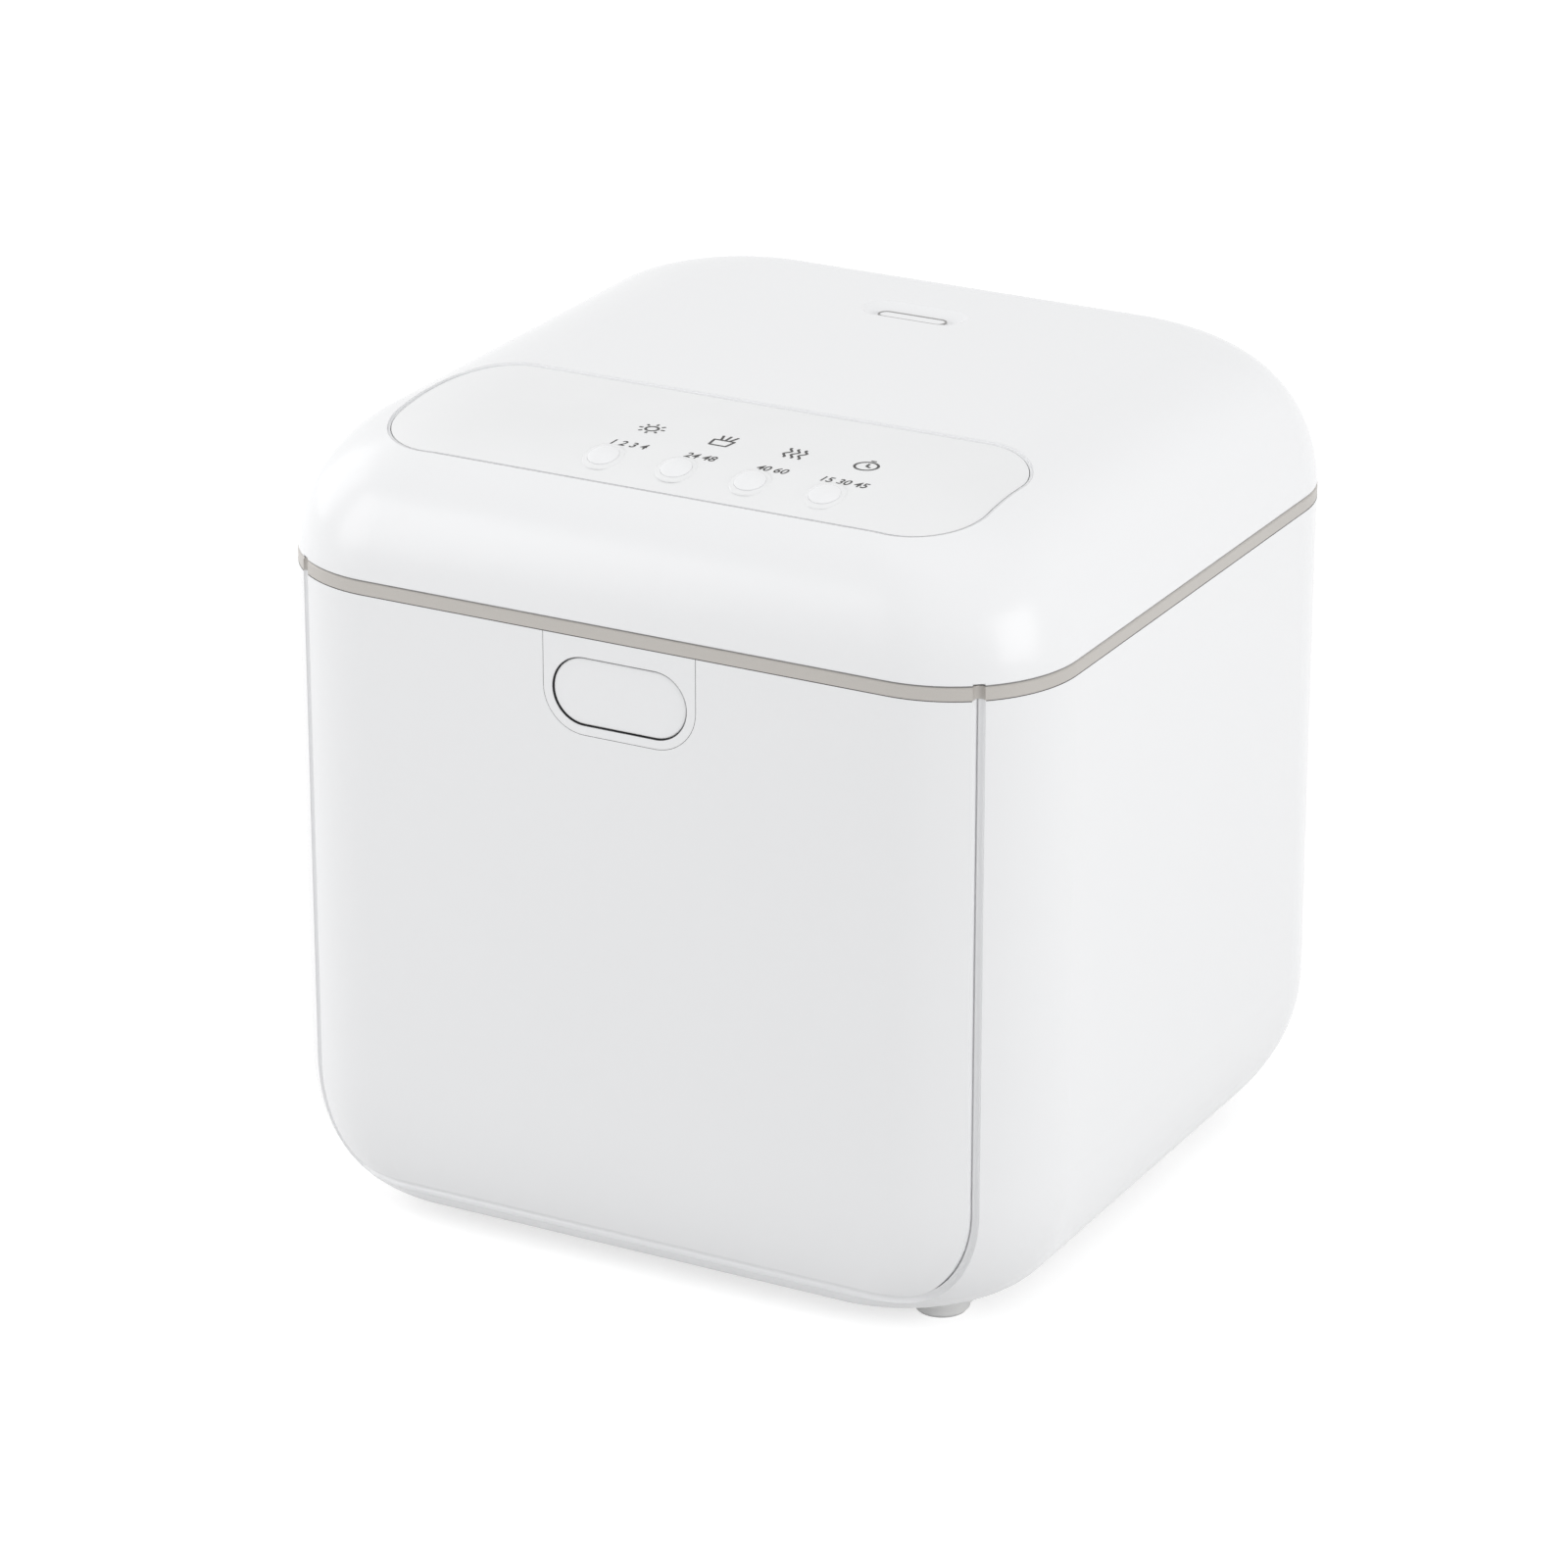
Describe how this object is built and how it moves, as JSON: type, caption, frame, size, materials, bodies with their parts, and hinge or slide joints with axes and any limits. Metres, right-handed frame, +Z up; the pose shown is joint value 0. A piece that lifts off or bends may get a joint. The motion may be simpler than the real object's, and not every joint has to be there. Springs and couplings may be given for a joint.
{
  "type": "chopstick sterilizer box",
  "caption": "Square counter-top box with rounded corners and a domed hinged lid, which sterilizes and dries chopsticks in a steel tank with a lift-out basket.",
  "frame": {"origin": "under the middle of the whole box, on the surface it stands on", "axes": "+X to the right as seen from the front, +Y to the back, +Z up; the front faces -Y"},
  "size_m": [0.29, 0.286, 0.288],
  "materials": {
    "shell_white": "glossy white moulded ABS",
    "panel_white": "satin white overlay",
    "key_white": "glossy white",
    "ring_grey": "satin warm grey",
    "inner_white": "satin moulded plastic",
    "inner_grey": "matt moulded plastic",
    "black_plastic": "matt black plastic",
    "foot_rubber": "soft pale grey rubber",
    "seal_silicone": "translucent white silicone",
    "tank_steel": "brushed stainless steel",
    "bright_steel": "bright steel",
    "spring_steel": "drawn spring wire",
    "fin_aluminium": "plain aluminium",
    "mirror_aluminium": "polished reflector",
    "quartz": "clear quartz",
    "lamp_glass": "quartz tube",
    "board_green": "solder-masked circuit board",
    "part_black": "electronic parts",
    "brass": "brass pins",
    "copper_steel": "laminations and winding"
  },
  "bodies": {
    "base": {"body_shell": "shell_white", "front_panel": "shell_white", "button_bezel": "shell_white", "latch_springs": "spring_steel", "trim_ring": "ring_grey", "top_frame": "inner_white", "inner_tank": "tank_steel", "floor_grille": "tank_steel", "base_cover": "inner_grey", "base_screws": "bright_steel", "fan_housing": "black_plastic", "fan_motor": "copper_steel", "heater_block": "fin_aluminium", "air_duct": "inner_grey", "power_board": "board_green", "power_parts": "part_black", "power_inlet": "black_plastic", "inlet_contacts": "brass", "rear_hinge_mount": "shell_white", "hinge_damper": "inner_grey", "lid_switch": "part_black", "foot_front_left": "foot_rubber", "foot_front_right": "foot_rubber", "foot_back_left": "foot_rubber", "foot_back_right": "foot_rubber"},
    "lid": {"lid_shell": "shell_white", "control_panel": "panel_white", "control_board": "board_green", "tact_switches": "part_black", "vent_insert": "key_white", "lid_liner": "inner_white", "lid_seal": "seal_silicone", "lid_catch": "bright_steel", "uv_window": "quartz", "uv_reflector": "mirror_aluminium", "uv_lamps": "lamp_glass", "lamp_sockets": "inner_white", "lid_magnet": "bright_steel", "lid_hinge_arm": "shell_white", "hinge_pin": "bright_steel"},
    "release_button": {"release_button": "key_white"},
    "latch_slide": {"latch_slide": "inner_grey"},
    "fan_rotor": {"fan_impeller": "black_plastic"},
    "basket": {"basket": "inner_white", "basket_floor": "inner_white", "basket_grille_front": "inner_white", "basket_grille_back": "inner_white", "basket_grille_left": "inner_white", "basket_grille_right": "inner_white", "basket_divider": "inner_white"},
    "basket_handle": {"basket_handle": "inner_white"},
    "touch_key_1": {"touch_key_1": "key_white"},
    "touch_key_2": {"touch_key_2": "key_white"},
    "touch_key_3": {"touch_key_3": "key_white"},
    "touch_key_4": {"touch_key_4": "key_white"}
  },
  "joints": [
    {"name": "lid_hinge", "type": "hinge", "parent": "base", "child": "lid", "pos_m": [0, 0.1374, 0.2354], "axis": [-1, 0, 0], "range_deg": [0, 80]},
    {"name": "button_press", "type": "slide", "parent": "base", "child": "release_button", "axis": [0, 1, 0], "range_m": [0, 0.003], "stiffness_N_per_m": 600, "springref_m": -0.002},
    {"name": "latch_travel", "type": "slide", "parent": "base", "child": "latch_slide", "axis": [0, 1, 0], "range_m": [0, 0.003], "deforming": ["latch_springs"]},
    {"name": "fan_spin", "type": "hinge", "parent": "base", "child": "fan_rotor", "pos_m": [0.024, -0.008, 0.02], "axis": [0, 0, 1], "continuous": true},
    {"name": "basket_lift", "type": "slide", "parent": "base", "child": "basket", "axis": [0, 0, 1], "range_m": [0, 0.02]},
    {"name": "handle_swing", "type": "hinge", "parent": "basket", "child": "basket_handle", "pos_m": [0, 0.001, 0.156], "axis": [1, 0, 0], "range_deg": [0, 180]},
    {"name": "key_press_1", "type": "slide", "parent": "lid", "child": "touch_key_1", "axis": [0, 0.2926, -0.9562], "range_m": [0, 0.0005], "stiffness_N_per_m": 800, "springref_m": -0.001},
    {"name": "key_press_2", "type": "slide", "parent": "lid", "child": "touch_key_2", "axis": [0, 0.2926, -0.9562], "range_m": [0, 0.0005], "stiffness_N_per_m": 800, "springref_m": -0.001},
    {"name": "key_press_3", "type": "slide", "parent": "lid", "child": "touch_key_3", "axis": [0, 0.2926, -0.9562], "range_m": [0, 0.0005], "stiffness_N_per_m": 800, "springref_m": -0.001},
    {"name": "key_press_4", "type": "slide", "parent": "lid", "child": "touch_key_4", "axis": [0, 0.2926, -0.9562], "range_m": [0, 0.0005], "stiffness_N_per_m": 800, "springref_m": -0.001}
  ],
  "couplings": [
    {"joint": "latch_travel", "follows": "button_press", "ratio": 1}
  ]
}
